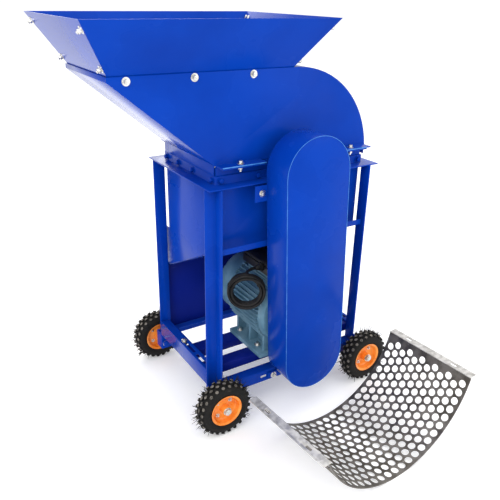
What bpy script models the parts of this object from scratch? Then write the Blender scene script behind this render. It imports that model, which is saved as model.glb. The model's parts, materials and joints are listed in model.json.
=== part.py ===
# Hammer mill on a wheeled angle-iron stand, with its spare screen lying beside it.
# Metres, +Z up. X runs along the machine, towards the wrapped end of the casing.
# The belt guard faces -Y and the chute opens towards +Y.

import math

import bmesh
import bpy
from mathutils import Matrix, Vector

GAP = 0.0003             # between pieces that touch
ANGLE = 0.040            # leg angle iron, width of each flange
STEEL = 0.004            # thickness of the angle iron
PLATE = 0.003            # casing and housing plate
HALF_X, HALF_Y = 0.315, 0.217          # outside of the stand
LEG_FOOT = 0.074
TABLE_TOP = 0.808
RING_X, RING_Y = 0.275, 0.173          # outside of the table's upright flange
RING_LIP = 0.833
SPLIT = 0.862            # joint between the casing and the lower housing
ROTOR_Z = 0.845
SHAFT_R = 0.0125
CASE_Y = 0.1687          # outside of the casing and housing plates
CASE_IN = CASE_Y - PLATE - GAP         # half-width of what fits between them
WRAP_R, WRAP_Z = 0.290, 0.832          # round end of the casing
CASE_TOP = 1.122
FEED_X, FEED_Z = -0.572, 1.109         # where the sloped feed plate starts
SKIRT_X = -0.2765
HOUSING_X, LEDGE_X = 0.2707, 0.283
SIDE_RAIL_TOP, SIDE_RAIL_DROP, SIDE_RAIL_SHELF = 0.195, 0.058, 0.033
END_RAIL_TOP, END_RAIL_DROP, END_RAIL_SHELF = 0.142, 0.042, 0.037
WHEEL_X, WHEEL_Y, WHEEL_Z, WHEEL_R, WHEEL_W = 0.297, 0.257, 0.094, 0.094, 0.056
AXLE_R = 0.008
GUARD_FRONT, GUARD_BACK, GUARD_R, GUARD_SHEET = -0.323, -0.222, 0.1133, 0.002
GUARD_TOP, GUARD_LOW = (-0.0175, 0.842), (0.0106, 0.216)
MOTOR_X, MOTOR_Z, MOTOR_R = 0.0075, 0.328, 0.131
MOTOR_SHAFT_R = 0.019
PULLEY_Y, PULLEY_W = -0.272, 0.040
ROTOR_PULLEY_R, MOTOR_PULLEY_R = 0.060, 0.085
PIN_CIRCLE, PIN_R = 0.125, 0.008
HAMMER_TIP, HAMMER_W, HAMMER_T = 0.236, 0.040, 0.006
DISC_Y, DISC_R, DISC_T = 0.104, 0.150, 0.008
SCREEN_R, SCREEN_Z, SCREEN_T, SCREEN_HALF = 0.258, 0.858, 0.003, 0.165
LOOSE_R, LOOSE_ARC, LOOSE_FLANGE = 0.309, 73.0, 0.025
LOOSE_X, LOOSE_Y, LOOSE_TURN, LOOSE_TIP = 0.037, -0.5375, 3.6, 2.8
CORD_R = 0.005
COIL_R, COIL_BUNDLE, COIL_HALF = 0.0525, 0.0100, 0.015
COIL_AT = Vector((-0.159, -0.166, 0.435))
COIL_TURN = 32.0         # how far the coil's axis is turned from Y towards X
OBJECT_MID = (-0.1302, -0.2134)        # middle of the whole footprint

BLUE, NAVY = (0.006, 0.045, 0.56), (0.005, 0.016, 0.16)
ORANGE, BLACK = (1.0, 0.19, 0.008), (0.012, 0.012, 0.013)
STEEL_GREY, ZINC, TEAL = (0.33, 0.32, 0.31), (0.55, 0.55, 0.53), (0.05, 0.22, 0.30)
FINISHES = {
    "paint": (BLUE, 0.28, 0.0),
    "dark_paint": (NAVY, 0.35, 0.0),
    "orange": (ORANGE, 0.4, 0.0),
    "rubber": (BLACK, 0.8, 0.0),
    "plastic": (BLACK, 0.45, 0.0),
    "steel": (STEEL_GREY, 0.45, 1.0),
    "zinc": (ZINC, 0.3, 1.0),
    "iron": (STEEL_GREY, 0.7, 1.0),
    "motor_paint": (TEAL, 0.4, 0.0),
}


def clear_scene():
    for obj in list(bpy.data.objects):
        bpy.data.objects.remove(obj)


def finished(name, obj, finish, pivot=None):
    """Gives the object its own material, hangs it on the root, and puts its origin on a pivot."""
    colour, roughness, metallic = FINISHES[finish]
    material = bpy.data.materials.new(name)
    material.use_nodes = True
    shader = material.node_tree.nodes["Principled BSDF"]
    shader.inputs["Base Color"].default_value = (*colour, 1.0)
    shader.inputs["Roughness"].default_value = roughness
    shader.inputs["Metallic"].default_value = metallic
    obj.data.materials.append(material)
    obj.parent = ROOT
    if pivot:
        obj.data.transform(Matrix.Translation(-Vector(pivot)))
        obj.location = pivot
    return obj


def axis_point(axis, a, b, along):
    """The point (a, b) of a section across the axis, at this distance along it."""
    return {"X": (along, a, b), "Y": (a, along, b), "Z": (a, b, along)}[axis]


def skin(name, rings, capped=True):
    """A solid through rings of points: its ends are capped, or its last ring joins its first."""
    bm = bmesh.new()
    rows = [[bm.verts.new(point) for point in ring] for ring in rings]
    pairs = list(zip(rows, rows[1:]))
    if capped:
        bm.faces.new(rows[0])
        bm.faces.new(rows[-1])
    else:
        pairs.append((rows[-1], rows[0]))
    for low, high in pairs:
        for i in range(len(low)):
            j = (i + 1) % len(low)
            bm.faces.new((low[i], low[j], high[j], high[i]))
    bmesh.ops.recalc_face_normals(bm, faces=bm.faces)
    mesh = bpy.data.meshes.new(name)
    bm.to_mesh(mesh)
    bm.free()
    obj = bpy.data.objects.new(name, mesh)
    bpy.context.scene.collection.objects.link(obj)
    return obj


def prism(name, axis, outline, start, end):
    return skin(name, [[axis_point(axis, a, b, at) for a, b in outline] for at in (start, end)])


def box(name, low, high):
    corners = ((low[0], low[1]), (high[0], low[1]), (high[0], high[1]), (low[0], high[1]))
    return prism(name, "Z", corners, low[2], high[2])


def circle(centre, radius, steps):
    return arc(centre, radius, 0, 360 * (steps - 1) / steps, steps - 1)


def arc(centre, radius, start, end, steps):
    """Points of an arc, in degrees, both ends included."""
    angles = [math.radians(start + (end - start) * i / steps) for i in range(steps + 1)]
    return [(centre[0] + radius * math.cos(a), centre[1] + radius * math.sin(a)) for a in angles]


def lathe(name, axis, centre, profile, steps=32, bored=False):
    """Turns (radius, along) pairs about the axis; a bored profile closes on itself."""
    rings = [
        [axis_point(axis, a, b, along) for a, b in circle(centre, radius, steps)]
        for radius, along in profile
    ]
    obj = skin(name, rings, capped=not bored)
    obj.data.shade_smooth()
    obj.data.set_sharp_from_angle(angle=math.radians(40))
    return obj


def rod(name, axis, centre, radius, start, end, steps=20):
    return lathe(name, axis, centre, [(radius, start), (radius, end)], steps)


def two_circles(first, first_r, second, second_r, steps):
    """The taut outline round two circles."""
    run = Vector(first) - Vector(second)
    facing = math.degrees(math.atan2(run.y, run.x))
    reach = math.degrees(math.acos((second_r - first_r) / run.length))
    upper = arc(first, first_r, facing - reach, facing + reach, steps)
    lower = arc(second, second_r, facing + reach, facing + 360 - reach, steps)
    return upper + lower


def bent_sheet(line, thickness):
    """Outline of a sheet whose one face follows the line, with its thickness on the left."""
    points = [Vector(p) for p in line]
    other = []
    for i, point in enumerate(points):
        before = (point - points[i - 1]).normalized() if i else None
        after = (points[i + 1] - point).normalized() if i + 1 < len(points) else None
        way = ((before or after) + (after or before)).normalized()
        shrink = way.dot(before or after)
        other.append(point + Vector((-way.y, way.x)) * thickness / shrink)
    return [tuple(p) for p in points + other[::-1]]


def combine(target, others, operation):
    """Adds each other solid to the target, or cuts it away."""
    for other in others:
        modifier = target.modifiers.new(other.name, "BOOLEAN")
        modifier.operation = operation
        modifier.solver = "EXACT"
        modifier.object = other
        other.parent = ROOT
        other.hide_render = True
        other.display_type = "WIRE"
    return target


def union(target, *others):
    return combine(target, others, "UNION")


def cut(target, *others):
    return combine(target, others, "DIFFERENCE")


def rectangle(half_x, half_y, z):
    return [(-half_x, -half_y, z), (half_x, -half_y, z), (half_x, half_y, z), (-half_x, half_y, z)]


def build_table():
    inner_x, inner_y = RING_X - STEEL, RING_Y - STEEL
    section = (
        (0, TABLE_TOP - STEEL),
        (HALF_X - inner_x, TABLE_TOP - STEEL),
        (HALF_X - inner_x, TABLE_TOP),
        (STEEL, TABLE_TOP),
        (STEEL, RING_LIP),
        (0, RING_LIP),
    )
    rings = [rectangle(inner_x + out, inner_y + out, z) for out, z in section]
    notch = box("table_ring_notch", (-0.020, -0.19, 0.826), (0.020, 0.19, RING_LIP + 0.01))
    finished("table_ring", cut(skin("table_ring", rings, capped=False), notch), "paint")


def angle_outline(corner_x, corner_y, out_x, out_y, width, wide_y=None):
    """An L with its outer corner here and flanges running out along X and Y."""
    wide_y = wide_y or width
    return [
        (corner_x, corner_y),
        (corner_x + out_x * width, corner_y),
        (corner_x + out_x * width, corner_y + out_y * STEEL),
        (corner_x + out_x * STEEL, corner_y + out_y * STEEL),
        (corner_x + out_x * STEEL, corner_y + out_y * wide_y),
        (corner_x, corner_y + out_y * wide_y),
    ]


def build_leg(name, sx, sy):
    """Angle iron open outwards; a bracket closes its foot to a tube that holds the wheel's axle."""
    corner = (sx * (HALF_X - ANGLE), sy * (HALF_Y - ANGLE))
    iron = prism(name, "Z", angle_outline(*corner, sx, sy, ANGLE), LEG_FOOT, TABLE_TOP - STEEL - GAP)
    bracket = prism(
        f"{name}_bracket", "Z", angle_outline(sx * HALF_X, sy * HALF_Y, -sx, -sy, ANGLE),
        LEG_FOOT, SIDE_RAIL_TOP - SIDE_RAIL_DROP,
    )
    ends = sorted((sy * (HALF_Y - ANGLE - 0.01), sy * (HALF_Y + 0.01)))
    bore = rod(f"{name}_bore", "Y", (sx * WHEEL_X, WHEEL_Z), AXLE_R + GAP, *ends)
    finished(name, cut(union(iron, bracket), bore), "paint")


def build_end_rail(name, sy):
    """Rail across the front or the back, with its flange turned inwards."""
    reach = HALF_X - ANGLE - GAP
    section = angle_outline(sy * HALF_Y, END_RAIL_TOP, -sy, -1, END_RAIL_SHELF, END_RAIL_DROP)
    rail = prism(name, "X", section, -reach, reach)
    if sy < 0:
        shelf_y = -HALF_Y - 0.01
        cut(rail, box(f"{name}_slot", (-0.127, shelf_y, 0.115), (-0.104, shelf_y + 0.02, 0.125)))
    finished(name, rail, "paint")


def build_side_rail(name, sx):
    """Rail between the legs of one side; its slots take the motor rails' bolts."""
    reach = HALF_Y - ANGLE - GAP
    section = angle_outline(sx * HALF_X, SIDE_RAIL_TOP, -sx, -1, SIDE_RAIL_SHELF, SIDE_RAIL_DROP)
    rail = prism(name, "Y", section, -reach, reach)
    slots = ((-0.068, 0.030), (-0.145, -0.083), (-0.170, -0.155))
    middle = sx * (HALF_X - 0.015)
    for number, (start, end) in enumerate(slots):
        low = (middle - 0.005, start, SIDE_RAIL_TOP - 0.01)
        high = (middle + 0.005, end, SIDE_RAIL_TOP + 0.01)
        cut(rail, box(f"{name}_slot_{number}", low, high))
    finished(name, rail, "paint")


def build_motor_rail(name, start, end):
    """Channel under the side rails' flanges that carries the motor's feet."""
    reach = HALF_X - STEEL - GAP
    top = SIDE_RAIL_TOP - STEEL - GAP
    line = ((end, top - 0.030), (end, top), (start, top), (start, top - 0.030))
    finished(name, prism(name, "X", bent_sheet(line, STEEL), -reach, reach), "dark_paint")


def build_wheel(tag, sx, sy):
    centre = (sx * WHEEL_X, WHEEL_Z)
    middle = sy * WHEEL_Y
    half = WHEEL_W / 2

    def turned(name, profile, bored, finish):
        placed = [(radius, middle + sy * along) for radius, along in profile]
        wheel = lathe(name, "Y", centre, placed, 24, bored)
        finished(name, wheel, finish, (centre[0], middle, centre[1]))

    tyre = (
        (0.0485, -0.020), (0.056, -0.0235), (0.064, -half), (0.080, -half), (0.089, -0.021),
        (WHEEL_R, -0.009), (WHEEL_R, 0.009), (0.089, 0.021), (0.080, half), (0.064, half),
        (0.056, 0.0235), (0.0485, 0.020),
    )
    turned(f"tyre_{tag}", tyre, True, "rubber")
    turned(f"rim_{tag}", rim_profile(), True, "orange")
    nut = HALF_Y - ANGLE - GAP - WHEEL_Y
    axle = (
        (0.0125, nut - 0.0065), (0.0125, nut), (AXLE_R, nut),
        (AXLE_R, HALF_Y + GAP - WHEEL_Y), (0.013, HALF_Y + GAP - WHEEL_Y), (0.013, -0.0275),
        (AXLE_R, -0.0275), (AXLE_R, 0.0275), (0.013, 0.0275), (0.013, 0.031),
        (0.0105, 0.031), (0.0105, 0.038),
    )
    turned(f"axle_{tag}", axle, False, "zinc")


def rim_profile():
    """Half-section of the pressed wheel: hub, disc, and a flange on each side of the tyre's seat."""
    outer = [
        (0.0545, -0.0255), (0.0535, -0.0240), (0.0482, -0.0205), (0.0482, 0.0205),
        (0.0535, 0.0240), (0.0545, 0.0255),
    ]
    inner = [
        (0.0520, 0.0265), (0.0450, 0.0215), (0.0450, 0.003), (0.0160, 0.003), (0.0160, 0.0272),
        (AXLE_R + GAP, 0.0272), (AXLE_R + GAP, -0.0272), (0.0160, -0.0272), (0.0160, -0.003),
        (0.0450, -0.003), (0.0450, -0.0215), (0.0520, -0.0265),
    ]
    return outer + inner


def build_hopper():
    """Four mitred panels, with an upright lip inside the casing."""
    wall = 0.0024
    split = GAP / 2
    levels = (
        (-0.6514, 0.0866, 0.2506, 1.257),
        (-0.5685, -0.0091, 0.1650, 1.1225),
        (-0.5685, -0.0091, 0.1650, 1.1125),
        (-0.5555, -0.0091, 0.1650, 1.100),
    )
    for side, name in enumerate(("front", "right", "back", "left")):
        rings = []
        for x0, x1, y, z in levels:
            corners = [Vector(p) for p in ((x0, -y), (x1, -y), (x1, y), (x0, y))]
            start, end = corners[side], corners[(side + 1) % 4]
            way = (end - start).normalized()
            inward = Vector((-way.y, way.x)) * wall
            ring = (
                start + way * split,
                end - way * split,
                end - way * (split + wall) + inward,
                start + way * (split + wall) + inward,
            )
            rings.append([(*p, z) for p in ring])
        name = f"hopper_{name}"
        finished(name, skin(name, rings), "paint")


def build_casing():
    """Upper casing: two side plates with clamp flanges, the feed plate and the wrap sheet."""
    first = math.degrees(math.asin((SPLIT - WRAP_Z) / WRAP_R))
    outline = [(FEED_X, CASE_TOP), (FEED_X, FEED_Z), (SKIRT_X, SPLIT + 0.003), (SKIRT_X, SPLIT)]
    outline += arc((0, WRAP_Z), WRAP_R, first, 90, 16)
    for name, sy in (("casing_front", -1), ("casing_back", 1)):
        plate = prism(name, "Y", outline, sy * CASE_Y, sy * (CASE_Y - PLATE))
        for number, (x0, x1) in enumerate(((-0.272, -0.12), (0.12, 0.284))):
            near, far = sorted((sy * (CASE_Y - PLATE / 2), sy * 0.2037))
            low, high = (x0, near, SPLIT), (x1, far, SPLIT + STEEL)
            union(plate, box(f"{name}_clamp_{number}", low, high))
        finished(name, plate, "paint")
    feed = ((FEED_X, CASE_TOP), (FEED_X, FEED_Z), (SKIRT_X, SPLIT + 0.003), (SKIRT_X, RING_LIP + GAP))
    finished("feed_plate", prism("feed_plate", "Y", bent_sheet(feed, PLATE), -CASE_IN, CASE_IN), "paint")
    wrap = arc((0, WRAP_Z), WRAP_R, 0.3, 91.6, 28)
    finished("wrap_sheet", prism("wrap_sheet", "Y", bent_sheet(wrap, PLATE), -CASE_IN, CASE_IN), "paint")


def build_housing():
    """Lower housing between the table and the chute."""
    top = SPLIT - GAP
    chute_top, chute_low, chute_end = 0.598, 0.405, 0.200
    back_low = 0.5605
    for name, sy, low in (("housing_front", -1, chute_top), ("housing_back", 1, back_low)):
        near, far = sorted((sy * CASE_Y, sy * (CASE_Y - PLATE)))
        plate = box(name, (-HOUSING_X, near, low), (HOUSING_X, far, top))
        near, far = sorted((sy * (CASE_Y - PLATE / 2), sy * 0.2037))
        for number, (x0, x1) in enumerate(((-0.268, -0.12), (0.12, 0.268))):
            union(plate, box(f"{name}_clamp_{number}", (x0, near, top - STEEL), (x1, far, top)))
        slot_low, slot_high = (-0.016, -0.2, 0.829), (0.016, 0.2, top + 0.01)
        finished(name, cut(plate, box(f"{name}_slot", slot_low, slot_high)), "paint")
    wall_top = SCREEN_Z - GAP
    outline = (
        (-CASE_IN, chute_top), (-CASE_IN, wall_top), (CASE_IN, wall_top), (CASE_IN, back_low),
        (chute_end, back_low), (chute_end, chute_low),
    )
    for name, sx in (("housing_left", -1), ("housing_right", 1)):
        wall = prism(name, "X", outline, sx * (HOUSING_X - PLATE), sx * HOUSING_X)
        if sx > 0:
            ledge_low = (HOUSING_X - PLATE / 2, -CASE_IN, wall_top - PLATE)
            union(wall, box(f"{name}_ledge", ledge_low, (LEDGE_X, CASE_IN, wall_top)))
        finished(name, wall, "paint")
    floor = ((chute_end, chute_low), (-CASE_IN, chute_top))
    reach = HOUSING_X - PLATE - GAP
    finished("chute_floor", prism("chute_floor", "X", bent_sheet(floor, PLATE), -reach, reach), "paint")
    plate_reach = HALF_X - ANGLE - GAP
    low, high = (-plate_reach, 0.206, END_RAIL_TOP + GAP), (plate_reach, 0.209, 0.410)
    finished("dust_plate", box("dust_plate", low, high), "dark_paint")


def build_screens():
    """The screen in the mill, held by its flanges, and the spare one sprung open on the floor."""
    inside, shelf = SCREEN_R - SCREEN_T, SCREEN_Z + SCREEN_T
    line = [(SKIRT_X + PLATE + GAP, shelf), (-inside, shelf)]
    line += arc((0, SCREEN_Z), inside, 180, 360, 32) + [(inside, shelf), (LEDGE_X, shelf)]
    sheet = prism("inner_screen", "Y", screen_section(line), -SCREEN_HALF, SCREEN_HALF)
    finished("inner_screen", sheet, "steel")

    bend = arc((0, 0), LOOSE_R - SCREEN_T, -90 - LOOSE_ARC, -90 + LOOSE_ARC, 30)
    first, last = bend[0], bend[-1]
    line = [(first[0] - LOOSE_FLANGE, first[1])] + bend + [(last[0] + LOOSE_FLANGE, last[1])]
    loose = prism("loose_screen", "Y", screen_section(line), -SCREEN_HALF, SCREEN_HALF)
    for number, (side, along) in enumerate(((-1, -1), (-1, 1), (1, -1), (1, 1))):
        x = side * (last[0] + LOOSE_FLANGE / 2)
        y = along * SCREEN_HALF * 0.55
        low = (x - 0.005, y - 0.018, last[1] - 0.02)
        slot = box(f"loose_screen_slot_{number}", low, (x + 0.005, y + 0.018, last[1] + 0.02))
        slot.matrix_world = LOOSE_PLACE
        cut(loose, slot)
    loose.matrix_world = LOOSE_PLACE
    finished("loose_screen", loose, "steel")


def screen_section(line):
    """Outline of the bent screen, whose inner face is the line."""
    return bent_sheet(line[::-1], SCREEN_T)


def build_guard():
    """Hollow belt guard, open behind, and the back plate that closes it."""
    shell = two_circles(GUARD_TOP, GUARD_R, GUARD_LOW, GUARD_R, 18)
    inside = two_circles(GUARD_TOP, GUARD_R - GUARD_SHEET, GUARD_LOW, GUARD_R - GUARD_SHEET, 18)
    rings = [
        [axis_point("Y", a, b, GUARD_FRONT) for a, b in shell],
        [axis_point("Y", a, b, GUARD_BACK) for a, b in shell],
        [axis_point("Y", a, b, GUARD_BACK) for a, b in inside],
        [axis_point("Y", a, b, GUARD_FRONT + GUARD_SHEET) for a, b in inside],
    ]
    finished("belt_guard", skin("belt_guard", rings), "paint")
    near = GUARD_BACK + GAP
    far = near + GUARD_SHEET
    plate = prism("guard_back", "Y", shell, near, far)
    union(plate, box("guard_tab_low", (-0.100, near, 0.105), (-0.030, far, 0.130)))
    union(plate, box("guard_tab_high", (-0.170, near, 0.752), (-0.100, far, 0.802)))
    cut(plate, rod("guard_rotor_hole", "Y", (0, ROTOR_Z), 0.020, near - 0.01, far + 0.01, 24))
    cut(plate, rod("guard_motor_hole", "Y", (MOTOR_X, MOTOR_Z), 0.026, near - 0.01, far + 0.01, 24))
    finished("guard_back", plate, "paint")


def build_motor():
    """Foot-mounted electric motor on the cross rails, with its fan cover and terminal box."""
    centre = (MOTOR_X, MOTOR_Z)
    bore = MOTOR_SHAFT_R + GAP
    body = lathe("motor_body", "Y", centre, [
        (bore, -0.216), (0.055, -0.216), (0.060, -0.205), (0.118, -0.200), (0.124, -0.180),
        (0.124, -0.170), (MOTOR_R, -0.168), (MOTOR_R, 0.020), (0.122, 0.030), (bore, 0.030),
    ], 32, bored=True)
    foot_z = SIDE_RAIL_TOP - STEEL
    foot = box("motor_foot", (MOTOR_X - 0.135, -0.208, foot_z), (MOTOR_X + 0.135, -0.008, foot_z + 0.014))
    saddle = box("motor_saddle", (MOTOR_X - 0.085, -0.165, foot_z + 0.01), (MOTOR_X + 0.085, -0.012, 0.27))
    finished("motor_body", union(body, foot, saddle), "motor_paint")
    cover = [
        (0.121, 0.0303), (0.121, 0.098), (0.100, 0.122), (0.020, 0.122), (0.020, 0.120),
        (0.099, 0.120), (0.119, 0.0972), (0.119, 0.0303),
    ]
    finished("fan_cover", lathe("fan_cover", "Y", centre, cover, 32, bored=True), "motor_paint")
    deck = MOTOR_Z + MOTOR_R + GAP
    lid = deck + 0.044
    low, high = (MOTOR_X - 0.080, -0.180, deck), (MOTOR_X + 0.080, 0.000, lid)
    finished("terminal_box", box("terminal_box", low, high), "plastic")
    shaft = [(MOTOR_SHAFT_R, -0.300), (MOTOR_SHAFT_R, -0.050), (0.0170, -0.050), (0.0170, 0.110)]
    turned_shaft = lathe("motor_shaft", "Y", centre, shaft, 24)
    finished("motor_shaft", turned_shaft, "steel", (MOTOR_X, PULLEY_Y, MOTOR_Z))
    build_pulley("motor_pulley", centre, MOTOR_SHAFT_R, MOTOR_PULLEY_R)


def build_pulley(name, centre, bore, radius):
    half = PULLEY_W / 2
    seat = radius - 0.004
    profile = [
        (bore + GAP, PULLEY_Y - half), (radius, PULLEY_Y - half), (radius, PULLEY_Y - half + 0.003),
        (seat, PULLEY_Y - half + 0.004), (seat, PULLEY_Y + half - 0.004),
        (radius, PULLEY_Y + half - 0.003), (radius, PULLEY_Y + half), (bore + GAP, PULLEY_Y + half),
    ]
    pulley = lathe(name, "Y", centre, profile, 24, bored=True)
    finished(name, pulley, "iron", (centre[0], PULLEY_Y, centre[1]))


def build_belt():
    slack = -0.004 + 4 * GAP
    bands = [
        two_circles((0, ROTOR_Z), ROTOR_PULLEY_R + add, (MOTOR_X, MOTOR_Z), MOTOR_PULLEY_R + add, 18)
        for add in (slack, slack + 0.009)
    ]
    half = PULLEY_W / 2 - 0.0045
    rings = [
        [axis_point("Y", a, b, PULLEY_Y - half) for a, b in bands[1]],
        [axis_point("Y", a, b, PULLEY_Y + half) for a, b in bands[1]],
        [axis_point("Y", a, b, PULLEY_Y + half) for a, b in bands[0]],
        [axis_point("Y", a, b, PULLEY_Y - half) for a, b in bands[0]],
    ]
    finished("drive_belt", skin("drive_belt", rings, capped=False), "rubber")


def build_rotor():
    """Shaft, two discs with four pins between them, and four rows of swinging hammers."""
    centre = (0, ROTOR_Z)
    wide = 0.0175
    shaft = [(SHAFT_R, -0.300), (SHAFT_R, -0.150), (wide, -0.150), (wide, 0.150), (SHAFT_R, 0.150),
             (SHAFT_R, 0.235)]
    finished("rotor_shaft", lathe("rotor_shaft", "Y", centre, shaft, 24), "steel", (0, 0, ROTOR_Z))
    pins = [(PIN_CIRCLE * math.cos(a), ROTOR_Z + PIN_CIRCLE * math.sin(a))
            for a in (math.radians(45 + 90 * k) for k in range(4))]
    half = DISC_T / 2
    for name, sy in (("rotor_disc_front", -1), ("rotor_disc_back", 1)):
        profile = [(radius, sy * DISC_Y + at) for radius, at in (
            (wide + GAP, -half), (DISC_R, -half), (DISC_R, half), (wide + GAP, half))]
        disc = lathe(name, "Y", centre, profile, 32, bored=True)
        for number, pin in enumerate(pins):
            if sy > 0:
                union(disc, rod(f"rotor_pin_{number}", "Y", pin, PIN_R, -0.114, DISC_Y + 0.001, 16))
            else:
                cut(disc, rod(f"{name}_hole_{number}", "Y", pin, PIN_R + GAP, -0.12, -0.09, 16))
        finished(name, disc, "steel", (0, 0, ROTOR_Z))
    build_pulley("rotor_pulley", centre, SHAFT_R, ROTOR_PULLEY_R)
    for row, pin in enumerate(pins):
        build_hammers(row, pin)


def build_hammers(row, pin):
    """One row of hammers on its pin; the rows are staggered so that they swing past each other."""
    name = f"hammers_{row + 1}"
    turn = math.radians(45 + 90 * row)
    inner, outer, half = -0.020, HAMMER_TIP - PIN_CIRCLE, HAMMER_W / 2
    way = Vector((math.cos(turn), math.sin(turn)))
    across = Vector((-way.y, way.x))
    flat = [(inner, -half), (outer, -half), (outer, half), (inner, half)]
    outline = [tuple(way * a + across * b) for a, b in flat]
    sleeve = lathe(name, "Y", (0, 0), [
        (PIN_R + GAP, -0.0995), (0.0125, -0.0995), (0.0125, 0.0995), (PIN_R + GAP, 0.0995),
    ], 16, bored=True)
    for number in range(4):
        y = -0.090 + 0.012 * row + 0.048 * number
        blade = prism(f"{name}_blade_{number}", "Y", outline, y - HAMMER_T / 2, y + HAMMER_T / 2)
        blade.location = (pin[0], 0, pin[1])
        union(sleeve, blade)
    bore = rod(f"{name}_bore", "Y", (0, 0), PIN_R + GAP, -0.11, 0.11, 16)
    bore.location = (pin[0], 0, pin[1])
    sleeve.location = (pin[0], 0, pin[1])
    finished(name, cut(sleeve, bore), "iron")


def build_bearings():
    """Pillow blocks on the table, one at each end of the rotor."""
    base = TABLE_TOP + GAP
    dome = arc((0, ROTOR_Z), 0.035, -15, 195, 16)
    foot_top = base + 0.014
    outline = [(-0.070, base), (0.070, base), (0.070, foot_top), (0.040, foot_top + 0.003)]
    outline += dome + [(-0.040, foot_top + 0.003), (-0.070, foot_top)]
    for name, sy in (("bearing_front", -1), ("bearing_back", 1)):
        near, far = sorted((sy * 0.1765, sy * 0.2135))
        block = prism(name, "Y", outline, near, far)
        bore = rod(f"{name}_bore", "Y", (0, ROTOR_Z), SHAFT_R + GAP, near - 0.01, far + 0.01, 24)
        finished(name, cut(block, bore), "dark_paint")


def smooth_route(points, steps):
    """A Catmull-Rom curve through the points, as evenly stepped points."""
    ends = [points[0] * 2 - points[1]] + points + [points[-1] * 2 - points[-2]]
    route = []
    for a, b, c, d in zip(ends, ends[1:], ends[2:], ends[3:]):
        for step in range(steps):
            t = step / steps
            route.append(0.5 * (2 * b + (c - a) * t + (2 * a - 5 * b + 4 * c - d) * t * t
                                + (3 * b - a - 3 * c + d) * t ** 3))
    return route + [points[-1]]


def build_cable():
    """Supply lead: gland on the terminal box, a short run, and the tied coil that hangs on it."""
    gland_y, gland_z = -0.123, 0.485
    wall = MOTOR_X - 0.080 - GAP
    gland = [
        (0.0130, wall), (0.0130, wall - 0.008), (0.0100, wall - 0.010),
        (0.0095, wall - 0.020), (0.0075, wall - 0.026),
    ]
    finished("cable_gland", lathe("cable_gland", "X", (gland_y, gland_z), gland, 20), "plastic")

    turn = Matrix.Rotation(math.radians(-COIL_TURN), 4, "Z")
    axis = turn @ Vector((0, 1, 0))
    ring = lathe("cable_coil", "Y", (0, 0), [
        (COIL_R - COIL_BUNDLE, -COIL_HALF + 0.005), (COIL_R - COIL_BUNDLE + 0.005, -COIL_HALF),
        (COIL_R + COIL_BUNDLE - 0.005, -COIL_HALF), (COIL_R + COIL_BUNDLE, -COIL_HALF + 0.005),
        (COIL_R + COIL_BUNDLE, COIL_HALF - 0.005), (COIL_R + COIL_BUNDLE - 0.005, COIL_HALF),
        (COIL_R - COIL_BUNDLE + 0.005, COIL_HALF), (COIL_R - COIL_BUNDLE, COIL_HALF - 0.005),
    ], 36, bored=True)
    ring.matrix_world = Matrix.Translation(COIL_AT) @ turn
    finished("cable_coil", ring, "rubber")

    start = Vector((wall - 0.026 - GAP, gland_y, gland_z))
    end = COIL_AT + axis * (COIL_HALF + 2 * GAP) + Vector((0, 0, COIL_R))
    points = [
        start,
        start + Vector((-0.011, -0.0008, 0.0004)),
        start + Vector((-0.0295, -0.0069, 0.0012)),
        end + axis * 0.012,
        end + axis * 0.004,
        end,
    ]
    curve = bpy.data.curves.new("power_cable", "CURVE")
    curve.dimensions = "3D"
    curve.bevel_depth = CORD_R
    curve.bevel_resolution = 3
    curve.use_fill_caps = True
    route = smooth_route(points, 2)
    spline = curve.splines.new("POLY")
    spline.points.add(len(route) - 1)
    for point, place in zip(spline.points, route):
        point.co = (*place, 1)
    cable = bpy.data.objects.new("power_cable", curve)
    bpy.context.scene.collection.objects.link(cable)
    finished("power_cable", cable, "rubber")


def build():
    build_table()
    for tag, sx, sy in (("fl", -1, -1), ("fr", 1, -1), ("bl", -1, 1), ("br", 1, 1)):
        build_leg(f"leg_{tag}", sx, sy)
        build_wheel(tag, sx, sy)
    build_end_rail("front_rail", -1)
    build_end_rail("back_rail", 1)
    build_side_rail("left_rail", -1)
    build_side_rail("right_rail", 1)
    build_motor_rail("motor_rail_rear", -0.062, -0.010)
    build_motor_rail("motor_rail_front", -0.1765, -0.1265)
    build_hopper()
    build_casing()
    build_housing()
    build_screens()
    build_guard()
    build_motor()
    build_belt()
    build_rotor()
    build_bearings()
    build_cable()


clear_scene()
ROOT = bpy.data.objects.new("hammer_mill", None)
bpy.context.scene.collection.objects.link(ROOT)
ROOT.location = (-OBJECT_MID[0], -OBJECT_MID[1], 0)
LOOSE_PLACE = (
    Matrix.Translation((LOOSE_X, LOOSE_Y, LOOSE_R))
    @ Matrix.Rotation(math.radians(LOOSE_TURN), 4, "Z")
    @ Matrix.Rotation(math.radians(-LOOSE_TIP), 4, "Y")
)
build()
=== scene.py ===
import json
import math
import random

import bpy
from mathutils import Matrix, Vector

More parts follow.
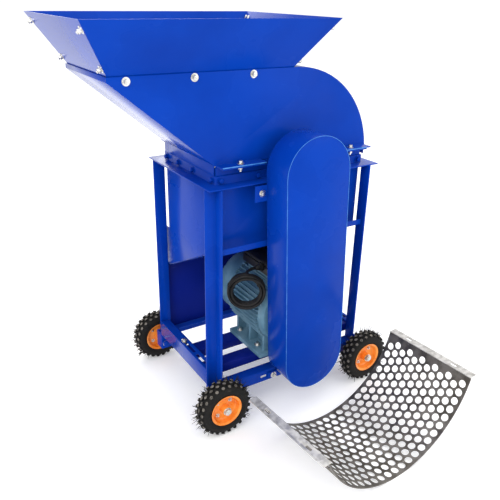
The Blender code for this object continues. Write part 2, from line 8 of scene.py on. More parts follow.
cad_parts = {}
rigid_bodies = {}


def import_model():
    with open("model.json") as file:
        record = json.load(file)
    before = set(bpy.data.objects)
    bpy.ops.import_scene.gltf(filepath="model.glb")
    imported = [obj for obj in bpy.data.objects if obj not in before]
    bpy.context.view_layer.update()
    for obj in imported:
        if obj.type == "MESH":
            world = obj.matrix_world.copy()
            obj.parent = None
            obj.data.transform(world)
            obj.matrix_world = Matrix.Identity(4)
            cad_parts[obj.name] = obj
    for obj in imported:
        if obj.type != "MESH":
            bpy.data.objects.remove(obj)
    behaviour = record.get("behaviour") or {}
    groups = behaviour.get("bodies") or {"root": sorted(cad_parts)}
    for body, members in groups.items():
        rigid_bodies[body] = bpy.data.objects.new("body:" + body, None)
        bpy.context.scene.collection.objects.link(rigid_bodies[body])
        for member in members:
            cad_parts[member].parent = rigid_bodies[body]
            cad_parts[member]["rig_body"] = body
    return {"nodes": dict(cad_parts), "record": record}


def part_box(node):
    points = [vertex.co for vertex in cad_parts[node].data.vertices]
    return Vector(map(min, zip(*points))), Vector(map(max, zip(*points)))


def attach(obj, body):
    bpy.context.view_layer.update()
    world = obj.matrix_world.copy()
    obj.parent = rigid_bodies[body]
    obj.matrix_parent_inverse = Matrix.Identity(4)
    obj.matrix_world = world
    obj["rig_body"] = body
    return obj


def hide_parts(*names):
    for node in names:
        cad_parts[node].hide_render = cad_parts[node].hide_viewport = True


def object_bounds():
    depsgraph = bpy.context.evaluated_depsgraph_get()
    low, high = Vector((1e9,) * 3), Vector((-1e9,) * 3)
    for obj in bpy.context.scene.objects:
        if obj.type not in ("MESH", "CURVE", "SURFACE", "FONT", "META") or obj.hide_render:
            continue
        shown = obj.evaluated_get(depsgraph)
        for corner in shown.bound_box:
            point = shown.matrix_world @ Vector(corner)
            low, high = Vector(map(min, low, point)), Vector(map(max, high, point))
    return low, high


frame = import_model()
cadLow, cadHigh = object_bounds()
nodeSlot = {part["node"]: part["material_slot"] for part in frame["record"]["subparts"]}


def middle(node):
    low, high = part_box(node)
    return (low + high) / 2


# the mill's own centre on the floor; the spare screen shifts the frame's origin away from it
mill = Vector((middle("rotor_shaft").x, middle("table_ring").y, 0))


def spot(x, y, z):
    return mill + Vector((x, y, z))


frontBack = ((-1, "Front"), (1, "Back"))
leftRight = ((-1, "Left"), (1, "Right"))


camera = {
    "place": (-1.0597, -1.5969, 1.3190),
    "yaw": 32.49,
    "pitch": 23.63,
    "roll": 1.18,
    "lens": 42.57,
}


def addCamera():
    yaw, pitch, roll = (math.radians(camera[key]) for key in ("yaw", "pitch", "roll"))
    right = Vector((math.cos(yaw), -math.sin(yaw), 0))
    forward = Vector((math.sin(yaw) * math.cos(pitch), math.cos(yaw) * math.cos(pitch), -math.sin(pitch)))
    up = right.cross(forward)
    leanRight = right * math.cos(roll) + up * math.sin(roll)
    leanUp = up * math.cos(roll) - right * math.sin(roll)
    bpy.ops.object.camera_add()
    eye = bpy.context.object
    eye.matrix_world = Matrix((leanRight, leanUp, -forward)).transposed().to_4x4()
    eye.location = spot(*camera["place"])
    eye.data.lens = camera["lens"]
    bpy.context.scene.camera = eye


studio = {
    "world": (1.0, 1.0, 1.0),
    "worldStrength": 1.08,
    "lamps": (
        ("keyLamp", (-2.6, -2.2, 3.2), 2.4, 60),
        ("fillLamp", (1.8, -3.0, 2.0), 2.0, 22),
        ("topLamp", (0.2, 0.4, 3.6), 2.4, 25),
        ("backLamp", (0.5, 3.0, 2.2), 2.0, 25),
    ),
}


def addStudio():
    world = bpy.data.worlds.new("studio")
    world.use_nodes = True
    world.node_tree.nodes["Background"].inputs["Color"].default_value = (*studio["world"], 1)
    world.node_tree.nodes["Background"].inputs["Strength"].default_value = studio["worldStrength"]
    bpy.context.scene.world = world
    bpy.context.scene.view_settings.view_transform = "Standard"
    for name, place, size, power in studio["lamps"]:
        bpy.ops.object.light_add(type="AREA", location=spot(*place))
        lamp = bpy.context.object
        lamp.name = name
        lamp.data.size = size
        lamp.data.energy = power
        lamp.rotation_euler = (spot(0, 0, 0.6) - lamp.location).to_track_quat("-Z", "Y").to_euler()
    bpy.ops.mesh.primitive_plane_add(size=40)
    floor = bpy.context.object
    floor.name = "floor"
    material = bpy.data.materials.new("floorWhite")
    material.use_nodes = True
    shader = material.node_tree.nodes["Principled BSDF"]
    shader.inputs["Base Color"].default_value = (0.97, 0.97, 0.97, 1)
    shader.inputs["Roughness"].default_value = 0.7
    shader.inputs["Emission Color"].default_value = (1, 1, 1, 1)
    shader.inputs["Emission Strength"].default_value = 0.16
    floor.data.materials.append(material)


def newSocket(group, name, way, kind):
    group.interface.new_socket(name=name, in_out=way, socket_type=kind)


def buildSurfaceGroup():
    # blotches, scratches and settled dust over two close tones, with a fine grain as height
    group = bpy.data.node_groups.new("surfaceDetail", "ShaderNodeTree")
    for name in ("Dark", "Light", "Worn"):
        newSocket(group, name, "INPUT", "NodeSocketColor")
    for name in ("Blotch Size", "Grain Size", "Wear", "Dust"):
        newSocket(group, name, "INPUT", "NodeSocketFloat")
    newSocket(group, "Colour", "OUTPUT", "NodeSocketColor")
    for name in ("Mask", "Height"):
        newSocket(group, name, "OUTPUT", "NodeSocketFloat")
    nodes, links = group.nodes, group.links
    given = nodes.new("NodeGroupInput")
    out = nodes.new("NodeGroupOutput")
    where = nodes.new("ShaderNodeTexCoord")

    def noise(scaleSocket, detail, roughness, stretch=None):
        texture = nodes.new("ShaderNodeTexNoise")
        texture.inputs["Detail"].default_value = detail
        texture.inputs["Roughness"].default_value = roughness
        source = where.outputs["Object"]
        if stretch:
            mapping = nodes.new("ShaderNodeMapping")
            mapping.inputs["Scale"].default_value = stretch
            links.new(source, mapping.inputs["Vector"])
            source = mapping.outputs["Vector"]
        links.new(source, texture.inputs["Vector"])
        links.new(scaleSocket, texture.inputs["Scale"])
        return texture.outputs["Fac"]

    def ramp(source, low, high):
        spread = nodes.new("ShaderNodeMapRange")
        spread.inputs["From Min"].default_value = low
        spread.inputs["From Max"].default_value = high
        spread.interpolation_type = "SMOOTHSTEP"
        links.new(source, spread.inputs["Value"])
        return spread.outputs["Result"]

    def times(a, b):
        node = nodes.new("ShaderNodeMath")
        node.operation = "MULTIPLY"
        links.new(a, node.inputs[0])
        links.new(b, node.inputs[1])
        return node.outputs[0]

    def mixed(factor, a, b):
        node = nodes.new("ShaderNodeMix")
        node.data_type = "RGBA"
        links.new(factor, node.inputs["Factor"])
        links.new(a, node.inputs[6])
        links.new(b, node.inputs[7])
        return node.outputs[2]

    blotch = ramp(noise(given.outputs["Blotch Size"], 4, 0.55), 0.32, 0.68)
    tone = mixed(blotch, given.outputs["Dark"], given.outputs["Light"])
    scratch = ramp(noise(given.outputs["Grain Size"], 2, 0.5, (0.03, 0.6, 0.16)), 0.69, 0.74)
    scuff = times(times(scratch, blotch), given.outputs["Wear"])
    tone = mixed(scuff, tone, given.outputs["Worn"])
    facing = nodes.new("ShaderNodeNewGeometry")
    split = nodes.new("ShaderNodeSeparateXYZ")
    links.new(facing.outputs["Normal"], split.inputs[0])
    level = ramp(split.outputs["Z"], 0.6, 1.0)
    speckle = ramp(noise(given.outputs["Blotch Size"], 6, 0.7), 0.4, 0.75)
    dusty = times(times(level, speckle), given.outputs["Dust"])
    dust = nodes.new("ShaderNodeRGB")
    dust.outputs[0].default_value = (0.45, 0.42, 0.37, 1)
    tone = mixed(dusty, tone, dust.outputs[0])
    links.new(tone, out.inputs["Colour"])
    links.new(blotch, out.inputs["Mask"])
    links.new(noise(given.outputs["Grain Size"], 3, 0.5), out.inputs["Height"])
    return group


# blotch and grain are noise scales, rough is a span, shine is the specular level where it is not 0.4
finishes = {
    "blue_paint": {
        "dark": (0.001, 0.034, 0.31), "light": (0.001, 0.044, 0.38), "worn": (0.02, 0.10, 0.55),
        "blotch": 3.2, "grain": 520, "wear": 0.18, "dust": 0.02,
        "rough": (0.22, 0.30), "metal": 0.0, "coat": 0.6, "bump": 0.03, "shine": 0.06,
    },
    # painted highlight: a lighter blue for thin lines along edges that catch the light
    "painted_highlight_blue": {
        "dark": (0.03, 0.16, 0.50), "light": (0.06, 0.24, 0.62), "worn": (0.2, 0.4, 0.75),
        "blotch": 30, "grain": 520, "wear": 0.3, "dust": 0.0,
        "rough": (0.22, 0.30), "metal": 0.0, "coat": 0.6, "bump": 0.02, "shine": 0.3,
    },
    # the blue paint darkened: painted shade for the sheets that sit in shadow under the housing
    "navy_paint": {
        "dark": (0.002, 0.008, 0.12), "light": (0.003, 0.014, 0.22), "worn": (0.05, 0.08, 0.3),
        "blotch": 4.0, "grain": 480, "wear": 0.2, "dust": 0.02,
        "rough": (0.25, 0.4), "metal": 0.0, "coat": 0.5, "bump": 0.04, "shine": 0.06,
    },
    "bearing_iron": {
        "dark": (0.003, 0.025, 0.25), "light": (0.005, 0.045, 0.40), "worn": (0.3, 0.3, 0.32),
        "blotch": 30, "grain": 260, "wear": 0.4, "dust": 0.15,
        "rough": (0.35, 0.55), "metal": 0.0, "coat": 0.2, "bump": 0.25,
    },
    "motor_paint": {
        "dark": (0.085, 0.19, 0.27), "light": (0.15, 0.29, 0.39), "worn": (0.35, 0.42, 0.45),
        "blotch": 14, "grain": 340, "wear": 0.35, "dust": 0.12,
        "rough": (0.35, 0.5), "metal": 0.0, "coat": 0.3, "bump": 0.12,
    },
    "black_plastic": {
        "dark": (0.008, 0.008, 0.009), "light": (0.016, 0.016, 0.017), "worn": (0.09, 0.09, 0.09),
        "blotch": 20, "grain": 700, "wear": 0.2, "dust": 0.1,
        "rough": (0.32, 0.45), "metal": 0.0, "coat": 0.0, "bump": 0.12, "shine": 0.2,
    },
    "black_rubber": {
        "dark": (0.007, 0.007, 0.007), "light": (0.016, 0.015, 0.015), "worn": (0.12, 0.11, 0.10),
        "blotch": 40, "grain": 600, "wear": 0.3, "dust": 0.08,
        "rough": (0.35, 0.5), "metal": 0.0, "coat": 0.0, "bump": 0.08, "shine": 0.2,
    },
    "screen_steel": {
        "dark": (0.075, 0.066, 0.056), "light": (0.20, 0.185, 0.165), "worn": (0.50, 0.48, 0.45),
        "blotch": 22, "grain": 420, "wear": 0.8, "dust": 0.08,
        "rough": (0.36, 0.55), "metal": 0.75, "coat": 0.0, "bump": 0.10,
    },
    "bar_steel": {
        "dark": (0.40, 0.385, 0.36), "light": (0.68, 0.665, 0.64), "worn": (0.9, 0.88, 0.85),
        "blotch": 55, "grain": 380, "wear": 0.8, "dust": 0.15,
        "rough": (0.38, 0.6), "metal": 0.55, "coat": 0.0, "bump": 0.14,
    },
    "bare_steel": {
        "dark": (0.30, 0.30, 0.30), "light": (0.50, 0.50, 0.49), "worn": (0.8, 0.8, 0.8),
        "blotch": 30, "grain": 500, "wear": 0.6, "dust": 0.05,
        "rough": (0.25, 0.4), "metal": 1.0, "coat": 0.0, "bump": 0.06,
    },
    "grey_iron": {
        "dark": (0.10, 0.10, 0.10), "light": (0.19, 0.185, 0.18), "worn": (0.5, 0.5, 0.5),
        "blotch": 40, "grain": 300, "wear": 0.5, "dust": 0.1,
        "rough": (0.45, 0.65), "metal": 0.8, "coat": 0.0, "bump": 0.2,
    },
    "hammer_steel": {
        "dark": (0.11, 0.10, 0.10), "light": (0.24, 0.22, 0.21), "worn": (0.6, 0.58, 0.55),
        "blotch": 25, "grain": 350, "wear": 0.8, "dust": 0.1,
        "rough": (0.35, 0.5), "metal": 0.9, "coat": 0.0, "bump": 0.15,
    },
    "tyre_rubber": {
        "dark": (0.006, 0.006, 0.006), "light": (0.014, 0.013, 0.012), "worn": (0.10, 0.09, 0.08),
        "blotch": 45, "grain": 500, "wear": 0.3, "dust": 0.0,
        "rough": (0.55, 0.75), "metal": 0.0, "coat": 0.0, "bump": 0.2, "shine": 0.15,
    },
    "tread_rubber": {
        "dark": (0.055, 0.048, 0.040), "light": (0.19, 0.17, 0.145), "worn": (0.3, 0.28, 0.25),
        "blotch": 60, "grain": 420, "wear": 0.6, "dust": 0.1,
        "rough": (0.6, 0.8), "metal": 0.0, "coat": 0.0, "bump": 0.3,
    },
    "orange_paint": {
        "dark": (0.82, 0.20, 0.015), "light": (0.94, 0.35, 0.055), "worn": (0.85, 0.45, 0.2),
        "blotch": 18, "grain": 480, "wear": 0.3, "dust": 0.05,
        "rough": (0.25, 0.38), "metal": 0.0, "coat": 0.4, "bump": 0.05,
    },
    "zinc_steel": {
        "dark": (0.55, 0.54, 0.50), "light": (0.78, 0.77, 0.74), "worn": (0.95, 0.93, 0.88),
        "blotch": 60, "grain": 600, "wear": 0.5, "dust": 0.0,
        "rough": (0.22, 0.36), "metal": 1.0, "coat": 0.0, "bump": 0.05,
    },
    "core_red": {
        "dark": (0.40, 0.02, 0.01), "light": (0.6, 0.04, 0.02), "worn": (0.7, 0.2, 0.1),
        "blotch": 60, "grain": 600, "wear": 0.1, "dust": 0.0,
        "rough": (0.4, 0.5), "metal": 0.0, "coat": 0.0, "bump": 0.05,
    },
    "brass": {
        "dark": (0.55, 0.36, 0.10), "light": (0.75, 0.52, 0.20), "worn": (0.9, 0.7, 0.4),
        "blotch": 60, "grain": 600, "wear": 0.3, "dust": 0.0,
        "rough": (0.25, 0.35), "metal": 1.0, "coat": 0.0, "bump": 0.03,
    },
}
# the nearest record slot for each look that is no slot of the record
recordSlots = {
    "painted_highlight_blue": "blue_paint",
    "bar_steel": "screen_steel",
    "tread_rubber": "tyre_rubber",
    "core_red": "black_rubber",
    "brass": "zinc_steel",
}


def buildMaterial(name, look, group):
    material = bpy.data.materials.new(name)
    material.use_nodes = True
    nodes, links = material.node_tree.nodes, material.node_tree.links
    shader = nodes["Principled BSDF"]
    detail = nodes.new("ShaderNodeGroup")
    detail.node_tree = group
    for key in ("dark", "light", "worn"):
        detail.inputs[key.title()].default_value = (*look[key], 1)
    for key in ("wear", "dust"):
        detail.inputs[key.title()].default_value = look[key]
    detail.inputs["Blotch Size"].default_value = look["blotch"]
    detail.inputs["Grain Size"].default_value = look["grain"]
    links.new(detail.outputs["Colour"], shader.inputs["Base Color"])
    spread = nodes.new("ShaderNodeMapRange")
    spread.inputs["To Min"].default_value, spread.inputs["To Max"].default_value = look["rough"]
    links.new(detail.outputs["Mask"], spread.inputs["Value"])
    links.new(spread.outputs["Result"], shader.inputs["Roughness"])
    bump = nodes.new("ShaderNodeBump")
    bump.inputs["Strength"].default_value = look["bump"]
    bump.inputs["Distance"].default_value = 0.001
    links.new(detail.outputs["Height"], bump.inputs["Height"])
    links.new(bump.outputs["Normal"], shader.inputs["Normal"])
    shader.inputs["Metallic"].default_value = look["metal"]
    shader.inputs["Specular IOR Level"].default_value = look.get("shine", 0.4)
    if look["coat"]:
        # the coat shows only at glancing angles
        facing = nodes.new("ShaderNodeLayerWeight")
        glance = nodes.new("ShaderNodeMapRange")
        glance.inputs["From Min"].default_value, glance.inputs["From Max"].default_value = 0.5, 0.85
        glance.inputs["To Max"].default_value = look["coat"]
        links.new(facing.outputs["Facing"], glance.inputs["Value"])
        links.new(glance.outputs["Result"], shader.inputs["Coat Weight"])
        shader.inputs["Coat Roughness"].default_value = 0.14
    return material


def deselect():
    bpy.ops.object.select_all(action="DESELECT")


def select(obj):
    deselect()
    obj.select_set(True)
    bpy.context.view_layer.objects.active = obj


def applied(obj):
    select(obj)
    bpy.ops.object.transform_apply(location=True, rotation=True, scale=True)
    return obj


def addModifier(obj, kind, **settings):
    select(obj)
    modifier = obj.modifiers.new(kind.lower(), kind)
    for key, value in settings.items():
        setattr(modifier, key, value)
    bpy.ops.object.modifier_apply(modifier=modifier.name)
    return obj


def softenEdges(obj, width, segments=2, angle=30):
    addModifier(obj, "BEVEL", width=width, segments=segments, limit_method="ANGLE",
                angle_limit=math.radians(angle), harden_normals=False, use_clamp_overlap=True)
    bpy.ops.object.shade_smooth_by_angle(angle=math.radians(35))
    return obj


def cylinder(name, radius, depth, sides, centre=(0, 0, 0), way=(0, 0, 1)):
    turn = Vector((0, 0, 1)).rotation_difference(Vector(way)).to_euler()
    bpy.ops.mesh.primitive_cylinder_add(
        vertices=sides, radius=radius, depth=depth, location=centre, rotation=turn)
    obj = bpy.context.object
    obj.name = name
    return applied(obj)


def block(name, low, high):
    low, high = Vector(low), Vector(high)
    bpy.ops.mesh.primitive_cube_add(size=1, location=(low + high) / 2)
    obj = bpy.context.object
    obj.name = name
    obj.scale = high - low
    return applied(obj)


def outlined(name, points):
    # a closed loop of edges through the given points
    bpy.ops.mesh.primitive_circle_add(vertices=len(points), radius=0.01, fill_type="NOTHING")
    obj = bpy.context.object
    obj.name = name
    for vertex, point in zip(obj.data.vertices, points):
        vertex.co = point
    return obj


def closedUp(obj):
    bpy.ops.object.mode_set(mode="EDIT")
    bpy.ops.mesh.select_all(action="SELECT")
    bpy.ops.mesh.remove_doubles(threshold=1e-5)
    bpy.ops.mesh.delete_loose()
    bpy.ops.mesh.select_all(action="SELECT")
    bpy.ops.mesh.normals_make_consistent(inside=False)
    bpy.ops.object.mode_set(mode="OBJECT")
    return obj


def turned(name, profile, centre, way=(0, 1, 0), steps=64):
    # spins the closed outline of (radius, along) pairs about the axis
    outline = profile[:-1] if profile[0] == profile[-1] else profile
    obj = outlined(name, [(radius, 0, along) for radius, along in outline])
    select(obj)
    bpy.ops.object.mode_set(mode="EDIT")
    bpy.ops.mesh.select_all(action="SELECT")
    bpy.ops.mesh.spin(steps=steps, angle=2 * math.pi, center=(0, 0, 0), axis=(0, 0, 1))
    bpy.ops.object.mode_set(mode="OBJECT")
    closedUp(obj)
    bpy.ops.object.shade_smooth_by_angle(angle=math.radians(35))
    return placed(obj, centre, way)


def repeated(name, template, places):
    copies = []
    for place in places:
        copy = bpy.data.objects.new(name, template.data.copy())
        bpy.context.scene.collection.objects.link(copy)
        copy.data.transform(place)
        copies.append(copy)
    bpy.data.objects.remove(template)
    return joined(name, copies)


def placed(obj, centre, way):
    turn = Vector((0, 0, 1)).rotation_difference(Vector(way)).to_matrix().to_4x4()
    obj.data.transform(Matrix.Translation(centre) @ turn)
    return obj


def joined(name, parts):
    deselect()
    for part in parts:
        part.select_set(True)
    bpy.context.view_layer.objects.active = parts[0]
    bpy.ops.object.join()
    parts[0].name = name
    return parts[0]


def settle(obj, body, look, *replaced):
    obj.data.materials.clear()
    obj.data.materials.append(materials[look])
    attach(obj, body)
    recordSlots.get(look, look)
    if replaced:
        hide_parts(*replaced)
    return obj


def refined(node, edge):
    # a merged copy of the CAD piece with eased edges and smooth round faces
    source = frame["nodes"][node]
    mesh = source.data.copy()
    mesh.materials.clear()
    obj = bpy.data.objects.new(f"{node}_skin", mesh)
    bpy.context.scene.collection.objects.link(obj)
    select(obj)
    bpy.ops.object.mode_set(mode="EDIT")
    bpy.ops.mesh.select_all(action="SELECT")
    bpy.ops.mesh.remove_doubles(threshold=1e-5)
    bpy.ops.mesh.dissolve_limited(angle_limit=math.radians(0.6))
    bpy.ops.object.mode_set(mode="OBJECT")
    softenEdges(obj, edge)
    return settle(obj, source["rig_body"], nodeSlot[node], node)


# head, washer and thread are in parts of the width across flats
fastener = {"head": 0.62, "washer": 0.86, "thread": 0.62, "plate": 0.0014, "turn": 0.0012}

def fastenerTemplate(name, across, stud):
    plate, turn = fastener["plate"], fastener["turn"]
    height = across * fastener["head"]
    washer = cylinder("washer", across * fastener["washer"], plate, 28, (0, 0, plate / 2))
    head = cylinder("head", across / math.sqrt(3), height, 6, (0, 0, plate + height / 2))
    softenEdges(head, across * 0.05, 2)
    parts = [washer, head]
    if stud:
        foot, radius = plate + height, across * fastener["thread"] / 2
        parts.append(cylinder("stud", radius, stud, 14, (0, 0, foot + stud / 2)))
        for ring in range(int(stud / turn)):
            at = (0, 0, foot + turn * (ring + 0.5))
            parts.append(cylinder("thread", radius * 1.08, turn / 2, 14, at))
    obj = joined(name, parts)
    obj.hide_render = True
    return obj


def fasten(name, template, at, way, body, look="zinc_steel"):
    obj = bpy.data.objects.new(name, template.data.copy())
    bpy.context.scene.collection.objects.link(obj)
    placed(obj, at, way)
    return settle(obj, body, look)


bolts = {
    "casing": {"x": (-0.522, -0.333, -0.150), "y": 0.1687, "z": 1.110},
    "clamp": {"x": (-0.200, 0.211), "y": 0.187, "over": 0.8662, "under": 0.8577},
    "bearing": {"x": (-0.0525, 0.0525), "y": 0.195, "over": 0.8223, "under": 0.804},
    "tableSide": {"x": (-0.258, -0.133, 0.133, 0.258), "y": 0.173, "z": 0.820},
    "tableEnd": {"x": 0.275, "y": (-0.155, -0.033, 0.065, 0.150), "z": 0.820},
    "rail": {"x": 0.300, "y": 0.010, "over": 0.195, "under": 0.1868},
    "guard": {"Low": (-0.079, -0.2218, 0.117), "High": (-0.145, -0.2218, 0.778)},
}
# each end panel's rim and foot as (x, z), and how the panels narrow downwards
hopper = {
    "Left": ((-0.6514, 1.257), (-0.5685, 1.1225)),
    "Right": ((0.0866, 1.257), (-0.0091, 1.1225)),
    "levels": (("Rim", 0.17), ("Foot", 0.86)),
    "half": 0.2506, "narrows": 0.0856, "inset": 0.014, "wall": 0.0026,
}


def boltHopper():
    # bolts square to the end panels, their nuts outside
    for side, tag in leftRight:
        rim, foot = hopper[tag]
        run = Vector((foot[0] - rim[0], foot[1] - rim[1]))
        out = Vector((side * -run.y, 0, side * run.x)).normalized()
        for level, share in hopper["levels"]:
            x, z = rim[0] + run.x * share, rim[1] + run.y * share
            reach = hopper["half"] - hopper["narrows"] * share - hopper["inset"]
            for sy, end in frontBack:
                at = spot(x, sy * reach, z)
                name = f"hopper{tag}{level}{end}"
                fasten(f"{name}Nut", shortNut, at, out, "frame")
                fasten(f"{name}Head", boltHead, at - out * hopper["wall"], -out, "frame")


def boltEverything():
    for side, tag in frontBack:
        rows = (("casing", "casingBolt", "zinc_steel"), ("tableSide", "tableBolt", "blue_paint"))
        for kind, name, look in rows:
            place = bolts[kind]
            for number, x in enumerate(place["x"]):
                at = spot(x, side * place["y"], place["z"])
                fasten(f"{name}{tag}{number}", boltHead, at, (0, side, 0), "frame", look)
        for kind, head in (("clamp", "Head"), ("bearing", "Bolt")):
            place = bolts[kind]
            for number, x in enumerate(place["x"]):
                over, under = (spot(x, side * place["y"], place[key]) for key in ("over", "under"))
                fasten(f"{kind}{head}{tag}{number}", boltHead, over, (0, 0, 1), "frame")
                fasten(f"{kind}Nut{tag}{number}", boltNut, under, (0, 0, -1), "frame")
    for side, tag in leftRight:
        place = bolts["tableEnd"]
        for number, y in enumerate(place["y"]):
            at = spot(side * place["x"], y, place["z"])
            fasten(f"tableBolt{tag}{number}", boltHead, at, (side, 0, 0), "frame", "blue_paint")
        place = bolts["rail"]
        over, under = (spot(side * place["x"], place["y"], place[key]) for key in ("over", "under"))
        fasten(f"railBolt{tag}", boltHead, over, (0, 0, 1), "frame")
        fasten(f"railNut{tag}", boltNut, under, (0, 0, -1), "frame")
    for tag, at in bolts["guard"].items():
        fasten(f"guardBolt{tag}", boltHead, spot(*at), (0, -1, 0), "frame")
    boltHopper()


wheel = {
    "carcass": 0.0875, "bead": 0.0485, "knobs": 24, "knobTall": 0.0062, "knobRoot": 0.004,
    "crownKnob": {"along": 0.0068, "lift": 0.0875, "wide": 0.0118, "long": 0.0165, "lean": 0},
    "shoulderKnob": {"along": 0.0195, "lift": 0.0835, "wide": 0.0115, "long": 0.0150, "lean": 0.42},
    "hairs": 120, "hairLong": 0.0160, "hairThick": 0.0012,
}


def knobTemplate():
    # six-sided block, its top drawn in and given the lighter tread rubber
    knob = cylinder("knob", 0.5, 1, 6)
    select(knob)
    bpy.ops.object.mode_set(mode="EDIT")
    bpy.ops.mesh.select_all(action="DESELECT")
    bpy.ops.object.mode_set(mode="OBJECT")
    for face in knob.data.polygons:
        face.select = face.normal.z > 0.9
    bpy.ops.object.mode_set(mode="EDIT")
    bpy.ops.transform.resize(value=(0.8, 0.8, 1))
    bpy.ops.object.mode_set(mode="OBJECT")
    knob.data.materials.append(materials["tyre_rubber"])
    knob.data.materials.append(materials["tread_rubber"])
    for face in knob.data.polygons:
        face.material_index = 1 if face.normal.z > 0.9 else 0
    return knob


def knobPlace(angle, side, knob):
    out = Vector((math.cos(angle), math.sin(angle), 0))
    tangent = Vector((-math.sin(angle), math.cos(angle), 0))
    axle = Vector((0, 0, 1))
    lean = side * knob["lean"]
    stand = (out * math.cos(lean) + axle * math.sin(lean)).normalized()
    across = (axle * math.cos(lean) - out * math.sin(lean)).normalized()
    height = wheel["knobTall"] + wheel["knobRoot"]
    axes = (across * knob["wide"] * 1.15, -tangent * knob["long"], stand * height)
    place = Matrix(axes).transposed().to_4x4()
    lift = stand * (wheel["knobTall"] - height / 2)
    place.translation = out * knob["lift"] + axle * side * knob["along"] + lift
    return place


def knobPlaces():
    places = []
    half = math.pi / wheel["knobs"]
    for i in range(wheel["knobs"]):
        for kind, shifted in (("crownKnob", 1), ("shoulderKnob", -1)):
            for side in (-1, 1):
                angle = 2 * half * i + (half if side == shifted else 0)
                places.append(knobPlace(angle, side, wheel[kind]))
    return places


def addWheel(tag, sy, seed):
    low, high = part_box(f"tyre_{tag}")
    hub = (low + high) / 2
    body = f"wheel_{tag}"
    bead = wheel["bead"]
    tyre = turned(f"tyreBody_{tag}", [
        (bead, -0.020), (0.056, -0.0235), (0.063, -0.0262), (0.071, -0.0268), (0.079, -0.0250),
        (0.0845, -0.0200), (0.0868, -0.0120), (wheel["carcass"], 0), (0.0868, 0.0120), (0.0845, 0.0200),
        (0.079, 0.0250), (0.071, 0.0268), (0.063, 0.0262), (0.056, 0.0235), (bead, 0.020), (bead, -0.020),
    ], hub, (0, 1, 0), 72)
    settle(tyre, body, "tyre_rubber", f"tyre_{tag}")
    for ring in (0.0605, 0.0665):
        for side in (-1, 1):
            bpy.ops.mesh.primitive_torus_add(
                major_radius=ring, minor_radius=0.0009, major_segments=72, minor_segments=6,
                location=hub + Vector((0, side * (0.0252 if ring < 0.062 else 0.0262), 0)),
                rotation=(math.pi / 2, 0, 0))
            rib = bpy.context.object
            rib.name = f"tyreRib_{tag}_{int(ring * 1e4)}_{'out' if side == sy else 'in'}"
            applied(rib)
            settle(rib, body, "tyre_rubber")
    tread = repeated(f"tread_{tag}", knobTemplate(), knobPlaces())
    placed(tread, hub, (0, 1, 0))
    tops = [face.index for face in tread.data.polygons if face.material_index == 1]
    settle(tread, body, "tyre_rubber")
    tread.data.materials.append(materials["tread_rubber"])
    for index in tops:
        tread.data.polygons[index].material_index = 1
    addHairs(tag, hub, body, seed)
    rim = turned(f"rimDish_{tag}", [
        (0.0545, -0.0255), (0.0535, -0.0240), (0.0500, -0.0215), (0.0482, -0.0195), (0.0482, 0.0195),
        (0.0500, 0.0215), (0.0535, 0.0240), (0.0545, 0.0255), (0.0535, 0.0262), (0.0515, 0.0258),
        (0.0470, 0.0225), (0.0455, 0.0150), (0.0440, 0.0075), (0.0405, 0.0045), (0.0300, 0.0038),
        (0.0245, 0.0055), (0.0200, 0.0060), (0.0165, 0.0062), (0.0155, 0.0075), (0.0152, 0.0265),
        (0.0140, 0.0272), (0.0083, 0.0272), (0.0083, -0.0272), (0.0140, -0.0272), (0.0152, -0.0265),
        (0.0155, -0.0075), (0.0165, -0.0062), (0.0200, -0.0060), (0.0245, -0.0055), (0.0300, -0.0038),
        (0.0405, -0.0045), (0.0440, -0.0075), (0.0455, -0.0150), (0.0470, -0.0225), (0.0515, -0.0258),
        (0.0535, -0.0262), (0.0545, -0.0255),
    ], hub, (0, 1, 0), 72)
    settle(rim, body, "orange_paint", f"rim_{tag}")
    for number in range(4):
        angle = math.radians(45 + 90 * number)
        for name, facing in (("rimBolt", sy), ("rimBoltBack", -sy)):
            at = hub + Vector((0.032 * math.cos(angle), facing * 0.0040, 0.032 * math.sin(angle)))
            fasten(f"{name}_{tag}_{number}", smallNut, at, (0, facing, 0), body)
    axle = turned(f"axleBolt_{tag}", [
        (0, -0.0890), (0.0075, -0.0890), (0.0080, -0.0885), (0.0080, -0.0807), (0.0130, -0.0803),
        (0.0130, -0.0790), (0.0080, -0.0787), (0.0080, -0.0395), (0.0128, -0.0393), (0.0128, -0.0276),
        (0.0080, -0.0275), (0.0080, 0.0275), (0.0135, 0.0275), (0.0135, 0.0292), (0.0080, 0.0292),
        (0.0080, 0.0370), (0.0070, 0.0380), (0, 0.0380),
    ], hub, (0, sy, 0), 32)
    nutOut = cylinder("nut", 0.0122, 0.0064, 6, hub + Vector((0, sy * 0.0325, 0)), (0, 1, 0))
    softenEdges(nutOut, 0.0008)
    nutIn = cylinder("nut", 0.0122, 0.0092, 6, hub + Vector((0, -sy * 0.0846, 0)), (0, 1, 0))
    softenEdges(nutIn, 0.0008)
    settle(joined(f"axleBolt_{tag}", [axle, nutOut]), "frame", "zinc_steel", f"axle_{tag}")
    nutIn.name = f"axleNutInner_{tag}"
    settle(nutIn, "frame", "blue_paint")


